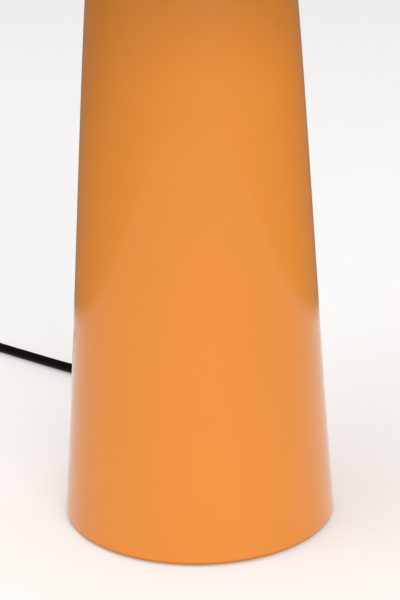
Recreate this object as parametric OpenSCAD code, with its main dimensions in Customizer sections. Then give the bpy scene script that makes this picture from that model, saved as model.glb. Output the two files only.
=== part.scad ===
// Table lamp with a tall spun metal body, a domed lift-off shade and a mains lead.
// Millimetres, +Z up. The origin is on the table under the middle of the foot.
// The lead leaves the back (+Y) and lies away to the left (-X).

/* [Body] */
// Outer diameter of the body at its foot
foot_d = 140.6; // [134:0.2:146]
// Diameter of the body where the flank turns into the shoulder
shoulder_d = 95.2; // [92:0.2:99]
// Height of the flat neck rim that carries the lamp's upper parts
neck_z = 326; // [318:1:334]
// Thickness of the spun sheet of the body and the shade
sheet_t = 1.2; // [1:0.1:1.4]
/* [Shade] */
// Outer diameter of the domed shade
shade_d = 300; // [290:2:310]
// How far the shade's rim hangs below the neck rim
rim_drop = 26; // [22:1:30]
// How far the shade lifts straight off its gallery
shade_lift = 200; // [150:10:240]
/* [Gallery] */
// Height of the gallery ring above the shade's rim
ring_lift = 88; // [82:1:92]
// Wire diameter of the gallery ring
ring_wire = 4; // [3.6:0.1:4.4]
// Number of arms, and of rubber sleeves between them
arm_count = 3; // [3:1:4]
/* [Bulb] */
// Diameter of the opal bulb
bulb_d = 60; // [56:1:62]
// Length of the bulb from its contact tip to its crown
bulb_h = 105; // [102:1:106]
/* [Foot] */
// Room from the foot's outer edge in to the side of the cast weight
weight_room = 8.3; // [8.3:0.1:12]
// Height of the cast weight
weight_h = 22; // [20:1:24]
// Height of the lead's centre where it leaves the body
exit_z = 12; // [11.5:0.1:12.5]
/* [Lead] */
// Diameter of the mains lead
cord_d = 6.2; // [5.8:0.1:6.4]
// Number of turns in the coil of spare lead
coil_turns = 6.125; // [4.125:1:6.125]
// Radius of the coil's outermost turn at the middle of the lead
coil_r = 45.6; // [44:0.2:47]
/* [Switch and plug] */
// Length of the in-line switch
switch_l = 60; // [56:1:62]
// Width of the in-line switch
switch_w = 27; // [26:0.5:28]
// Angle through which the switch's rocker tips
rocker_tip = 16; // [12:1:18]
// Width of the plug's body across its pins
plug_w = 35; // [34:0.5:36]
// Length of the plug's body
plug_l = 37; // [36:1:40]

/* [Hidden] */

round_fn = 96;
curve_steps = 28;
small = 0.01;
slack = 0.1;       // radial play of a fixed fit
seat_gap = 0.3;    // play between a moving piece and its seat

lacquer = [0.93, 0.56, 0.22];
steel = [0.72, 0.73, 0.74];
brass = [0.80, 0.64, 0.34];
black = [0.07, 0.07, 0.07];
cast = [0.24, 0.24, 0.25];

// Foot, from the table up
foot_r = foot_d / 2;
weight_r = foot_r - weight_room;
pad_h = 0.8;
plate_h = 1.8;
plate_z = pad_h;
hem_w = 2.6;                       // width of the hemmed rim of the body
hem_r = 1.2;                       // rounding of its outer edge
hem_z = pad_h;
plate_r = foot_r - hem_w - 0.4;
lip_z = plate_z + plate_h;         // the shell's inward lip rests on the plate
lip_w = 4;
pad_r = plate_r - 5;
weight_z = lip_z;
weight_top = weight_z + weight_h;
well_r = 20;
web_h = 5;                         // thickness of the weight over its well
well_z = weight_top - web_h;
channel_w = 14;
channel_h = exit_z + cord_d / 2 - weight_z;
pocket_w = 28;                     // wider place in the channel for the cord clamp
pocket_l = 12;
clamp_y = 40;
clamp = [26, 8, 3];
clamp_screw_r = 1.5;
clamp_screw_x = 9.5;
clamp_bite = 4;
plate_screw_r = 48;
plate_screw_d = 4;
plate_screw_head_d = 7.6;
plate_screw_l = 12;

// Stem, nuts and neck cup
stem_d = 10;
stem_bore = 8;
nut_d = 16.2;
nut_h = 5;
washer_d = 24;
washer_h = 1.5;
washer_z = well_z - washer_h;
lower_nut_z = washer_z - nut_h;
stem_z = lower_nut_z - 1;
holder_r = 19.9;                   // the lampholder, which stands in the cup
cup_wall = 1.2;
cup_room = 0.9;
cup_flange_w = 6;
cup_r = holder_r + cup_room + cup_wall;
cup_flange_r = cup_r + cup_flange_w;
cup_depth = 48;
cup_floor_z = neck_z - cup_depth;
upper_nut_z = cup_floor_z + cup_wall;

// Lampholder for an E27 bulb
holder_z = upper_nut_z + nut_h + 0.3;
stem_top = holder_z + 9;
holder_cap_h = 16;
holder_skirt_h = 41;
skirt_z = holder_z + holder_cap_h;
holder_wall = 2;
holder_mouth_r = 14.4;
insert_h = 9;                      // ceramic, standing in the skirt's lower end
insert_foot = 2;                   // its narrower foot, inside the cap
thread_pitch = 3.63;               // E27 screw
thread_depth = 0.8;
thread_shell_r = 14.2;             // outside, at the narrow places between two ridges
thread_shell_t = 0.5;
thread_shell_turns = 6;
contact_z = skirt_z + insert_h;
contact_h = 2;
tip_z = contact_z + contact_h + 0.2;

// Bulb
bulb_r = bulb_d / 2;
bulb_cap_r = 13.2;
bulb_cap_h = 24;
bulb_cap_wall = 0.6;
bulb_cap_turns = 4.5;
bulb_tip_h = 1.6;
bulb_insulator_h = 3;
bulb_cap_z = tip_z + bulb_tip_h + bulb_insulator_h;
bulb_neck_z = bulb_cap_z + bulb_cap_h;
bulb_top = tip_z + bulb_h;
glass_t = 1;

// Gallery and shade
hub_z = neck_z + cup_wall;
hub_h = 2.5;
hub_margin = 1;                    // how far the hub reaches past the cup's flange
hub_r = cup_flange_r + hub_margin;
hub_bore = holder_r + 0.3;
ring_z = neck_z - rim_drop + ring_lift;
sleeve_r = 6.1;
dome_z = neck_z - rim_drop;        // centre of the dome, at the height of its rim
dome_r = shade_d / 2;
dome_in_r = dome_r - sheet_t;
ring_r = sqrt(pow(dome_in_r - seat_gap - sleeve_r, 2) - pow(ring_lift, 2));
sleeve_angle = 12;
arm_w = 8;
arm_t = 2.5;
weld = 0.5;                        // how deep the ring's wire sinks into each arm
bead_r = 2;

// Lead, where it leaves the body
cord_r = cord_d / 2;
wall_r_at_exit = foot_r - 2.2;
relief_l = 24.6;
grommet_y = wall_r_at_exit + relief_l;
grommet_hole_r = 5.5;
cord_sides = 10;
core_sides = 8;
core_r = 1;
core_x = 1.3;
sheath_y = 24;

// Route of the lead from the body to the switch. A height of 0 lies on the table.
lead_route = [
    [0, grommet_y, exit_z], [0, 98, 12], [0, 106, 12], [-2, 117, 11.8], [-6, 127, 11.2],
    [-11.5, 136, 10.4], [-19, 144, 9.4], [-31, 154, 7.9], [-44, 165, 6.2], [-57, 176, 4.9],
    [-70, 187, 3.9], [-84, 199, 3.3], [-97, 210, 0], [-110, 221, 0], [-123, 232, 0],
    [-134, 241.4, 0], [-144, 249, 4], [-154, 254, 6], [-164, 256, 7.6], [-170, 256, 8]
];

// In-line switch
switch_at = [-208, 256, 0];
switch_h = 17;
switch_split = 9;
switch_axis_z = 8;
nose_l = 8;
nose_r = 4.6;
switch_wall = 2;
switch_half = switch_l / 2;
rocker_l = 22;
rocker_w = 11.4;
rocker_axis_z = 11.5;
rocker_pin_r = 1.5;
rocker_gap = 0.3;
switch_end_x = switch_half + nose_l;
switch_screw_x = 21;
switch_screw_r = 1.25;
switch_screw_head_r = 2.4;
switch_screw_head_z = 0.6;         // heads sunk in the underside
switch_post_r = 3;
cheek = [12, 3];
switch_terminal = [5, 4, 5];

// Coil of spare lead, in two layers
coil_at = [-227, 190];
coil_rings = 24;
coil_pitch = cord_d + 0.6;
coil_start = 180;
coil_in_r = coil_r - coil_pitch * coil_turns / 2;
climb_half = 0.25;                 // half of the stretch, in turns, that climbs a layer
coil_end_angle = coil_start + 360 * coil_turns;

// Route of the lead from the switch to the coil
tail_route = [
    [switch_at.x - switch_end_x, 256, 8], [-252, 256, 7.6], [-258, 254, 6], [-265, 249, 4],
    [-270, 241, 0], [coil_at.x - coil_r, 231, 0], [coil_at.x - coil_r, 221, 0],
    [coil_at.x - coil_r, 210, 0], [coil_at.x - coil_r, coil_at.y + cord_d, 0]
];

// Route from the coil down to the plug: distance along, and share of the height left
end_route = [[0, 1], [7, 1], [13, 0.88], [19, 0.6], [25, 0.3], [31, 0.08], [36, 0]];

// Plug
plug_h = 13.8;
plug_axis_z = plug_h / 2;
plug_nose_l = 14;
plug_nose_w = 13;
pin_l = 19;
pin_r = 2;
pin_apart = 18.6;
pin_collar_l = 10;
pin_collar_r = 1.9;

// Flank of the body as one cubic curve, and its shoulder as another. Each handle is given by how
// far it lies inwards or outwards of the curve's end, and how far up or down.
shoulder_h = 40;
heel_handle = [7.8, 25];           // inwards of the foot's edge, up from the table
hip_handle = [10.4, 126];          // outwards of the shoulder's foot, down from the neck
shoulder_handle = [2.3, 19];       // inwards of the shoulder's foot, up from it
neck_handle = 12;                  // outwards of the neck rim
shoulder_z = neck_z - shoulder_h;
flank = [
    [foot_r, hem_z + hem_r], [foot_r - heel_handle.x, heel_handle.y],
    [shoulder_d / 2 + hip_handle.x, neck_z - hip_handle.y], [shoulder_d / 2, shoulder_z]
];
shoulder = [
    [shoulder_d / 2, shoulder_z],
    [shoulder_d / 2 - shoulder_handle.x, shoulder_z + shoulder_handle.y],
    [cup_flange_r + neck_handle, neck_z], [cup_flange_r, neck_z]
];

function bezier(p, t) = pow(1 - t, 3) * p[0] + 3 * pow(1 - t, 2) * t * p[1]
    + 3 * (1 - t) * t * t * p[2] + pow(t, 3) * p[3];
function bezier_slope(p, t) = 3 * pow(1 - t, 2) * (p[1] - p[0]) + 6 * (1 - t) * t * (p[2] - p[1])
    + 3 * t * t * (p[3] - p[2]);
function unit(v) = v / norm(v);
function inward(v) = [-v.y, v.x];
// Points on a curve, moved inwards by a distance
function bezier_points(p, from, depth = 0) = [
    for (i = [from : curve_steps]) let (t = i / curve_steps)
        bezier(p, t) + depth * inward(unit(bezier_slope(p, t)))
];
function arc_points(centre, r, from, to, steps) = [
    for (i = [0 : steps]) let (a = from + (to - from) * i / steps)
        centre + r * [cos(a), sin(a)]
];
function reversed(list) = [for (i = [len(list) - 1 : -1 : 0]) list[i]];

// Outline of a rounded thread, as ridges at its pitch: starts and ends in a root
function ridges(root_r, z, pitch, depth, turns) = [
    for (i = [0 : 8 * turns])
        [root_r + depth * (1 - cos(45 * i)) / 2, z + pitch * i / 8]
];

// A tube along a route: one polygon of points round every route point
function direction(route, i) = i == 0 ? unit(route[1] - route[0])
    : i == len(route) - 1 ? unit(route[i] - route[i - 1])
    : unit(unit(route[i + 1] - route[i]) + unit(route[i] - route[i - 1]));
function ring_points(centre, along, aside, r, sides) =
    let (across = unit(aside - (aside * along) * along), upright = cross(along, across))
    [for (k = [0 : sides - 1]) let (a = 90 + 360 * k / sides)
        centre + r * (cos(a) * across + sin(a) * upright)];
function beside(along) = unit([along.y, -along.x, 0]);
module tube(route, r, sides, aside = undef) {
    rings = len(route);
    points = [
        for (i = [0 : rings - 1]) let (along = direction(route, i))
            each ring_points(route[i], along, is_undef(aside) ? beside(along) : aside, r, sides)
    ];
    sides_of_tube = [
        for (i = [0 : rings - 2], k = [0 : sides - 1])
            let (a = i * sides + k, b = i * sides + (k + 1) % sides)
            each [[a, b, b + sides], [a, b + sides, a + sides]]
    ];
    ends = [
        [for (k = [sides - 1 : -1 : 0]) k],
        [for (k = [0 : sides - 1]) (rings - 1) * sides + k]
    ];
    polyhedron(points, concat(sides_of_tube, ends), convexity = 10);
}
function on_table(route) = [for (p = route) [p.x, p.y, max(p.z, cord_r)]];

module turned(points) {
    rotate_extrude($fn = round_fn) polygon(points);
}
module ring_solid(r_out, r_in, h) {
    difference() {
        cylinder(h = h, r = r_out, $fn = round_fn);
        translate([0, 0, -small]) cylinder(h = h + 2 * small, r = r_in, $fn = round_fn);
    }
}
module hex_nut(across_corners, bore_r, h) {
    difference() {
        cylinder(h = h, d = across_corners, $fn = 6);
        translate([0, 0, -small]) cylinder(h = h + 2 * small, r = bore_r, $fn = round_fn);
    }
}
module around(count, start) {
    for (i = [0 : count - 1]) rotate([0, 0, start + 360 * i / count]) children();
}

// Foot
module felt_pad() {
    color(black) ring_solid(pad_r, well_r - 2, pad_h);
}
module plate_screw_places() {
    around(3, 30) translate([plate_screw_r, 0, 0]) children();
}
// A countersunk screw standing on its head, or the hole for it with some play
module plate_screw(play = 0) {
    shank_r = plate_screw_d / 2 + play;
    head_r = plate_screw_head_d / 2 + play;
    turned([[0, -play], [head_r, -play], [head_r, 0], [shank_r, plate_h],
            [shank_r, plate_screw_l + play], [0, plate_screw_l + play]]);
}
module bottom_plate() {
    color(steel) translate([0, 0, plate_z]) difference() {
        cylinder(h = plate_h, r = plate_r, $fn = round_fn);
        plate_screw_places() plate_screw(slack);
    }
}
module plate_screws() {
    color(steel) translate([0, 0, plate_z]) plate_screw_places() plate_screw();
}
module base_weight() {
    edge = 2.5;
    color(cast) difference() {
        translate([0, 0, weight_z]) turned([
            [stem_d / 2 + slack, weight_h - web_h], [well_r, weight_h - web_h], [well_r, 0],
            [weight_r, 0],
            [weight_r, weight_h - edge], [weight_r - edge, weight_h],
            [stem_d / 2 + slack, weight_h]
        ]);
        translate([0, 0, plate_z]) plate_screw_places() plate_screw(slack);
        translate([-channel_w / 2, 0, weight_z - small])
            cube([channel_w, weight_r + 1, channel_h + small]);
        translate([-pocket_w / 2, clamp_y - pocket_l / 2, weight_z - small])
            cube([pocket_w, pocket_l, channel_h + small]);
        clamp_screw_places() translate([0, 0, weight_z])
            cylinder(h = channel_h + clamp_bite + slack, r = clamp_screw_r + slack / 2, $fn = 48);
    }
}
module stem_washer() {
    color(steel) translate([0, 0, washer_z]) ring_solid(washer_d / 2, stem_d / 2 + slack, washer_h);
}
module stem_nut_lower() {
    color(steel) translate([0, 0, lower_nut_z]) hex_nut(nut_d, stem_d / 2 + slack / 2, nut_h);
}
module stem_nut_upper() {
    color(steel) translate([0, 0, upper_nut_z]) hex_nut(nut_d, stem_d / 2 + slack / 2, nut_h);
}
module stem_tube() {
    color(steel) translate([0, 0, stem_z]) ring_solid(stem_d / 2, stem_bore / 2, stem_top - stem_z);
}

// Body: spun sheet with a hemmed foot, a lip on the bottom plate and a flat neck rim
module body_profile() {
    neck_in_r = cup_r + 0.3;
    polygon(concat(
        [[foot_r - hem_w, hem_z]],
        arc_points([foot_r - hem_r, hem_z + hem_r], hem_r, -90, 0, 6),
        bezier_points(flank, 1),
        bezier_points(shoulder, 1),
        [[neck_in_r, neck_z], [neck_in_r, neck_z - sheet_t]],
        reversed(bezier_points(shoulder, 1, sheet_t)),
        reversed(bezier_points(flank, 2, sheet_t)),
        [[foot_r - hem_w + 1, lip_z + sheet_t], [plate_r - lip_w, lip_z + sheet_t],
         [plate_r - lip_w, lip_z], [foot_r - hem_w, lip_z]]
    ));
}
module body_shell() {
    color(lacquer) difference() {
        rotate_extrude($fn = round_fn) body_profile();
        translate([0, foot_r - 10, exit_z]) rotate([-90, 0, 0])
            cylinder(h = 20, r = grommet_hole_r, $fn = round_fn);
    }
}
module neck_cup() {
    depth = cup_depth + cup_wall;
    color(steel) translate([0, 0, cup_floor_z]) turned([
        [stem_d / 2 + slack, 0], [cup_r, 0], [cup_r, cup_depth], [cup_flange_r, cup_depth],
        [cup_flange_r, depth], [cup_r - cup_wall, depth], [cup_r - cup_wall, cup_wall],
        [stem_d / 2 + slack, cup_wall]
    ]);
}

// Gallery: a hub under the shade ring, bent arms and a wire ring
arm_bend_r = 42;
arm_end_z = ring_z - ring_wire / 2 - arm_t + weld;
arm_path = [
    [hub_r - 4, hub_z], [arm_bend_r, hub_z], [ring_r - 1.5, arm_end_z], [ring_r + 2, arm_end_z]
];
module arm_profile() {
    tilt = atan2(arm_path[2].y - arm_path[1].y, arm_path[2].x - arm_path[1].x);
    shift = arm_t * [-tan(tilt / 2), 1];
    polygon(concat(arm_path, [
        arm_path[3] + [0, arm_t], arm_path[2] + shift, arm_path[1] + shift, arm_path[0] + [0, arm_t]
    ]));
}
module gallery() {
    color(steel) {
        difference() {
            union() {
                translate([0, 0, hub_z]) cylinder(h = hub_h, r = hub_r, $fn = round_fn);
                around(arm_count, 90) rotate([90, 0, 0])
                    translate([0, 0, -arm_w / 2]) linear_extrude(arm_w) arm_profile();
            }
            translate([0, 0, hub_z - 1]) cylinder(h = hub_h + 2, r = hub_bore, $fn = round_fn);
        }
        translate([0, 0, ring_z]) rotate_extrude($fn = round_fn)
            translate([ring_r, 0]) circle(d = ring_wire, $fn = 32);
    }
}
module gallery_sleeves() {
    color(black) translate([0, 0, ring_z])
        around(arm_count, 90 + 180 / arm_count - sleeve_angle / 2)
        rotate_extrude(angle = sleeve_angle, $fn = round_fn) translate([ring_r, 0])
        difference() {
            circle(r = sleeve_r, $fn = 48);
            circle(d = ring_wire + slack, $fn = 32);
        }
}
module shade_ring() {
    ring_h = 7;
    rim_r = hub_r - 2;
    rim_h = 1.5;
    grips = 12;
    grip_r = 2;
    color(black) translate([0, 0, hub_z + hub_h]) difference() {
        cylinder(h = ring_h, r = rim_r, $fn = round_fn);
        translate([0, 0, -1]) cylinder(h = ring_h + 2, r = holder_r + slack, $fn = round_fn);
        around(grips, 0) translate([rim_r + 1, 0, rim_h]) cylinder(h = ring_h, r = grip_r, $fn = 24);
    }
}

// Lampholder
module holder_cap() {
    boss_r = 8;
    ledge = 2.9;                   // the insert rests on the top of the cap's wall
    color(black) translate([0, 0, holder_z]) turned([
        [stem_d / 2 + slack / 2, 0], [boss_r, 0], [boss_r, 2], [holder_r - 3, 7],
        [holder_r, 10], [holder_r, holder_cap_h], [holder_r - ledge, holder_cap_h],
        [holder_r - ledge, 9.6], [boss_r, 5], [boss_r, 8],
        [stem_d / 2 + slack / 2, 8]
    ]);
}
module holder_skirt() {
    lip = 2;
    ring_pitch = 2;                // thread outside for the shade ring
    ring_turns = 6;
    ring_depth = 0.6;
    ring_from = holder_skirt_h - 1 - ring_pitch * ring_turns;
    color(black) translate([0, 0, skirt_z]) turned(concat(
        [[holder_r - holder_wall, 0], [holder_r, 0], [holder_r, ring_from - 0.6]],
        ridges(holder_r - ring_depth, ring_from, ring_pitch, ring_depth, ring_turns),
        [[holder_r - 1.6, holder_skirt_h], [holder_mouth_r, holder_skirt_h],
         [holder_mouth_r, holder_skirt_h - lip], [holder_r - holder_wall, holder_skirt_h - lip]]
    ));
}
module holder_insert() {
    flange_r = holder_r - holder_wall - slack;
    body_r = flange_r - 0.9;
    color([0.92, 0.91, 0.88]) translate([0, 0, skirt_z]) turned([
        [0, -insert_foot], [body_r, -insert_foot], [body_r, 0], [flange_r, 0],
        [flange_r, insert_h], [0, insert_h]
    ]);
}
module holder_thread_shell() {
    outside = ridges(thread_shell_r, 0, thread_pitch, thread_depth, thread_shell_turns);
    color(brass) translate([0, 0, contact_z])
        turned(concat(outside, reversed([for (p = outside) p - [thread_shell_t, 0]])));
}
module holder_contact() {
    strip = [6, 16, 0.5];
    pad_l = 8;
    color(brass) translate([-strip.x / 2, -strip.y / 2, contact_z]) {
        cube(strip);
        translate([0, (strip.y - pad_l) / 2, 0]) cube([strip.x, pad_l, contact_h]);
    }
}
// Terminal blocks under the insert's foot, each with a screw from below
terminal_x = 10.6;
terminal = [6, 8, 5];
terminal_z = skirt_z - insert_foot - terminal.z;
terminal_screw_r = 1.5;
module holder_terminals() {
    color(brass) for (side = [-1, 1]) difference() {
        translate([side * terminal_x - terminal.x / 2, -terminal.y / 2, terminal_z]) cube(terminal);
        translate([side * terminal_x, 0, terminal_z - 1])
            cylinder(h = terminal.z + 2, r = terminal_screw_r + slack / 2, $fn = 48);
    }
}
module terminal_screws() {
    head_h = 1.2;
    head_r = 2.3;
    color(steel) for (side = [-1, 1]) translate([side * terminal_x, 0, terminal_z - head_h]) {
        cylinder(h = head_h + 4, r = terminal_screw_r, $fn = 48);
        cylinder(h = head_h, r = head_r, $fn = 48);
    }
}

// Bulb: a thin opal globe, its screw cap and its contact
module bulb_glass() {
    globe_z = bulb_top - bulb_r;
    neck_r = bulb_cap_r - bulb_cap_wall - 0.4;
    neck_in_cap = 3;
    flank_out = [
        [neck_r, bulb_neck_z - neck_in_cap], [neck_r, bulb_neck_z + 12],
        [bulb_r * 0.93, globe_z - bulb_r * 0.75], [bulb_r, globe_z]
    ];
    color([0.95, 0.94, 0.90]) turned(concat(
        bezier_points(flank_out, 0),
        arc_points([0, globe_z], bulb_r, 5, 90, 17),
        reversed(arc_points([0, globe_z], bulb_r - glass_t, 5, 90, 17)),
        reversed(bezier_points(flank_out, 0, glass_t))
    ));
}
module bulb_cap() {
    wall = bulb_cap_wall;
    root_r = bulb_cap_r - thread_depth;
    first = 3;
    last = first + thread_pitch * bulb_cap_turns;
    hole_r = 4;
    color(brass) translate([0, 0, bulb_cap_z]) turned(concat(
        [[hole_r, 0], [root_r - 1.5, 0], [root_r, first - 0.5]],
        ridges(root_r, first, thread_pitch, thread_depth, bulb_cap_turns),
        [[bulb_cap_r, bulb_cap_h], [bulb_cap_r - wall, bulb_cap_h], [bulb_cap_r - wall, last + 1],
         [root_r - wall, last], [root_r - wall, first], [root_r - 1.5 - wall / 2, wall],
         [hole_r, wall]]
    ));
}
module bulb_insulator() {
    color(black) translate([0, 0, tip_z + bulb_tip_h])
        turned([[0, 0], [4.5, 0], [9, bulb_insulator_h], [0, bulb_insulator_h]]);
}
module bulb_tip() {
    color(brass) translate([0, 0, tip_z])
        turned([[0, 0], [3.5, 0], [4.5, 1], [4.5, bulb_tip_h], [0, bulb_tip_h]]);
}

// Shade: a spun dome whose rim is rolled inwards over a bead
module shade() {
    start = asin(bead_r / dome_r);
    bead_at = [dome_r - bead_r, dome_z + bead_r];
    color(lacquer) rotate_extrude($fn = round_fn) {
        polygon(concat(
            arc_points([0, dome_z], dome_r, start, 90, 2 * curve_steps),
            reversed(arc_points([0, dome_z], dome_in_r, start, 90, 2 * curve_steps))
        ));
        translate(bead_at) circle(r = bead_r, $fn = 32);
    }
}

// Strain relief moulded round the lead: a grooved taper outside and a neck in the wall
module cord_grommet() {
    length = grommet_y - wall_r_at_exit;
    flange_r = 7.5;
    groove = 0.5;
    ribs = 5;
    rib_pitch = 3.4;
    root_r = 6;
    tip_r = 4.3;
    bore_r = cord_r + slack / 2;
    first = 4;
    collar_y = 5.6;
    collar_l = 3;
    collar_r = 7;
    function taper(y) = root_r + (tip_r - root_r) * (y - first) / (length - first);
    outline = concat(
        [[bore_r, -2], [flange_r, -2], [flange_r, 2.2], [root_r + 0.6, 3.2], [root_r, first]],
        [for (i = [0 : ribs - 1]) let (y = first + 1.2 + rib_pitch * i)
            each [[taper(y), y], [taper(y) - groove, y + 0.5],
                  [taper(y) - groove, y + 1.3], [taper(y), y + 1.8]]],
        [[tip_r, length - 0.6], [tip_r - 0.6, length], [bore_r, length]]
    );
    color(black) translate([0, 0, exit_z]) rotate([-90, 0, 0]) {
        difference() {
            translate([0, 0, wall_r_at_exit]) turned(outline);
            translate([0, exit_z, 0]) rotate([90, 0, 0]) rotate_extrude($fn = round_fn)
                polygon(concat([[0, 0], [foot_r + slack / 2, 0]],
                    [for (p = bezier_points(flank, 0)) p + [slack / 2, 0]],
                    [[0, shoulder_z]]));
        }
        translate([0, 0, wall_r_at_exit - collar_y]) {
            ring_solid(grommet_hole_r - 2 * slack, bore_r, collar_y + 1);
            ring_solid(collar_r, bore_r, collar_l);
        }
    }
}
module inner_sheath() {
    color(black) translate([0, sheath_y, exit_z]) rotate([-90, 0, 0])
        cylinder(h = grommet_y - sheath_y, r = cord_r, $fn = round_fn);
}
core_route = [
    [0, sheath_y, 0], [0, 19, -0.6], [0, 14, -2.6], [0, 9, -5], [0, 5, -5.8], [0, 2, -4.6],
    [0, 0.4, -2], [0, 0, 2]
];
module inner_cores() {
    rise = [for (p = core_route) p + [0, 0, exit_z]];
    for (side = [-1, 1]) {
        shift = [side * core_x, 0, 0];
        out = [
            [0, 0, stem_top - 1], [side * 0.6, 0, stem_top + 1.5],
            [side * (terminal_x - terminal.x / 2 - core_x), 0, stem_top + 2.4]
        ];
        color(side < 0 ? [0.10, 0.22, 0.55] : [0.42, 0.26, 0.14])
            tube([for (p = concat(rise, out)) p + shift], core_r, core_sides, [side * 0.2, 1, 0.2]);
    }
}
module clamp_screw_places() {
    for (side = [-1, 1]) translate([side * clamp_screw_x, clamp_y, 0]) children();
}
module cord_clamp() {
    color(steel) difference() {
        translate([0, clamp_y, exit_z - cord_r - clamp.z / 2]) cube(clamp, center = true);
        clamp_screw_places() cylinder(h = exit_z, r = clamp_screw_r + slack, $fn = 48);
    }
}
module clamp_screws() {
    head_h = 1.6;
    head_r = 2.8;
    color(steel) clamp_screw_places() translate([0, 0, exit_z - cord_r - clamp.z]) {
        translate([0, 0, -head_h]) cylinder(h = head_h, r = head_r, $fn = 48);
        cylinder(h = clamp.z + cord_d + clamp_bite, r = clamp_screw_r, $fn = 48);
    }
}

// Lead in its free stretches
module cord_lead() {
    color(black) tube(on_table(lead_route), cord_r, cord_sides);
}
module cord_tail() {
    color(black) tube(on_table(tail_route), cord_r, cord_sides);
}

// The coil spirals in on the table and out again a layer higher
function coil_layer(h) = let (s = min(max((h + climb_half) / (2 * climb_half), 0), 1))
    s * s * (3 - 2 * s);
function coil_spread(h) = abs(h) > climb_half ? abs(h) : h * h / (2 * climb_half) + climb_half / 2;
function coil_point(turn) = let (
        h = turn - coil_turns / 2,
        r = coil_in_r + coil_pitch * coil_spread(h),
        a = coil_start + 360 * turn
    ) [coil_at.x + r * cos(a), coil_at.y + r * sin(a), cord_r + coil_pitch * coil_layer(h)];
function heading(a) = [-sin(a), cos(a), 0];
coil_steps = round(coil_turns * coil_rings);
coil_turn_points = [for (i = [0 : coil_steps]) coil_point(i / coil_rings)];
coil_route = concat(
    [coil_turn_points[0] - cord_d * heading(coil_start)],
    coil_turn_points,
    [coil_turn_points[coil_steps] + cord_d * heading(coil_end_angle)]
);
module cord_coil() {
    color(black) tube(coil_route, cord_r, 6);
}
function route_length(route) =
    [for (i = 1, sum = norm(route[1] - route[0]); i < len(route);
        i = i + 1, sum = sum + (i < len(route) ? norm(route[i] - route[i - 1]) : 0)) sum][len(route) - 2];
coil_gap = min([
    for (i = [0 : coil_steps], j = [i + coil_rings / 2 : coil_steps])
        norm(coil_turn_points[i] - coil_turn_points[j])
]) - cord_d;

// Frame at the coil's outer end: +X runs along the lead towards the plug
end_start = coil_route[len(coil_route) - 1];
module at_coil_end() {
    translate([end_start.x, end_start.y, 0]) rotate([0, 0, coil_end_angle + 90]) children();
}
end_points = [
    for (p = end_route) [p[0], 0, plug_axis_z + p[1] * (end_start.z - plug_axis_z)]
];
end_l = end_route[len(end_route) - 1][0];
module cord_end() {
    color(black) at_coil_end() tube(end_points, cord_r, cord_sides);
}

// Switch housing: the space shared by three outlines, parted at half height
switch_outline = [
    [-switch_half, -8], [-switch_half + 12, -switch_w / 2 + 1], [-14, -switch_w / 2],
    [14, -switch_w / 2], [switch_half - 12, -switch_w / 2 + 1], [switch_half, -8],
    [switch_half, 8], [switch_half - 12, switch_w / 2 - 1], [14, switch_w / 2],
    [-14, switch_w / 2], [-switch_half + 12, switch_w / 2 - 1], [-switch_half, 8]
];
module at_switch() {
    translate(switch_at) children();
}
module side_outline(l, h, crown, edge) {
    polygon([
        [-l, edge], [-l + edge, 0], [l - edge, 0], [l, edge], [l, h - crown],
        [l - crown, h - crown / 3], [l / 2, h], [-l / 2, h], [-l + crown, h - crown / 3],
        [-l, h - crown]
    ]);
}
module switch_form() {
    intersection() {
        linear_extrude(switch_h) polygon(switch_outline);
        rotate([90, 0, 0]) translate([0, 0, -switch_w]) linear_extrude(2 * switch_w)
            side_outline(switch_half, switch_h, 4, 1);
        rotate([90, 0, 90]) translate([0, 0, -switch_l]) linear_extrude(2 * switch_l)
            side_outline(switch_w / 2, switch_h, 3, 1);
    }
    for (end = [-1, 1]) translate([end * (switch_half - 1), 0, switch_axis_z])
        rotate([0, end * 90, 0])
        turned([[0, 0], [nose_r + 1, 0], [nose_r + 1, 2.5], [nose_r, 3.5], [nose_r - 0.7, 9], [0, 9]]);
}
module switch_hollow() {
    inner = switch_half - 5;
    translate([-inner, -8, switch_wall]) cube([2 * inner, 16, switch_h - 2 * switch_wall - 0.5]);
}
module switch_screw_places() {
    for (end = [-1, 1]) translate([end * switch_screw_x, 0, 0]) children();
}
module switch_posts() {
    switch_screw_places() cylinder(h = switch_h - switch_wall, r = switch_post_r, $fn = 48);
}
// Cheeks inside the cover that carry the rocker's pin
module switch_cheeks() {
    middle = rocker_w / 2 + rocker_gap + cheek.y / 2;
    for (side = [-1, 1]) translate([-cheek.x / 2, side * middle - cheek.y / 2, switch_split])
        cube([cheek.x, cheek.y, switch_h - switch_split - 1]);
}
module switch_solid() {
    difference() {
        switch_form();
        difference() {
            switch_hollow();
            switch_posts();
            switch_cheeks();
        }
        switch_screw_places() {
            translate([0, 0, -1]) cylinder(h = 12, r = switch_screw_r + slack, $fn = 48);
            translate([0, 0, -1]) cylinder(h = 3.2, r = switch_screw_head_r + 2 * slack, $fn = 48);
        }
    }
}
module switch_base() {
    color(black) at_switch() intersection() {
        switch_solid();
        translate([-switch_l, -switch_w, 0]) cube([2 * switch_l, 2 * switch_w, switch_split]);
    }
}
module switch_cover() {
    color(black) at_switch() difference() {
        intersection() {
            switch_solid();
            translate([-switch_l, -switch_w, switch_split])
                cube([2 * switch_l, 2 * switch_w, switch_h]);
        }
        translate([-rocker_l / 2 - 0.5, -rocker_w / 2 - rocker_gap, switch_split - 1])
            cube([rocker_l + 1, rocker_w + 2 * rocker_gap, switch_h]);
        translate([0, 0, rocker_axis_z]) rotate([90, 0, 0])
            cylinder(h = rocker_w + 4, r = rocker_pin_r + slack, center = true, $fn = 48);
    }
}
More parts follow.
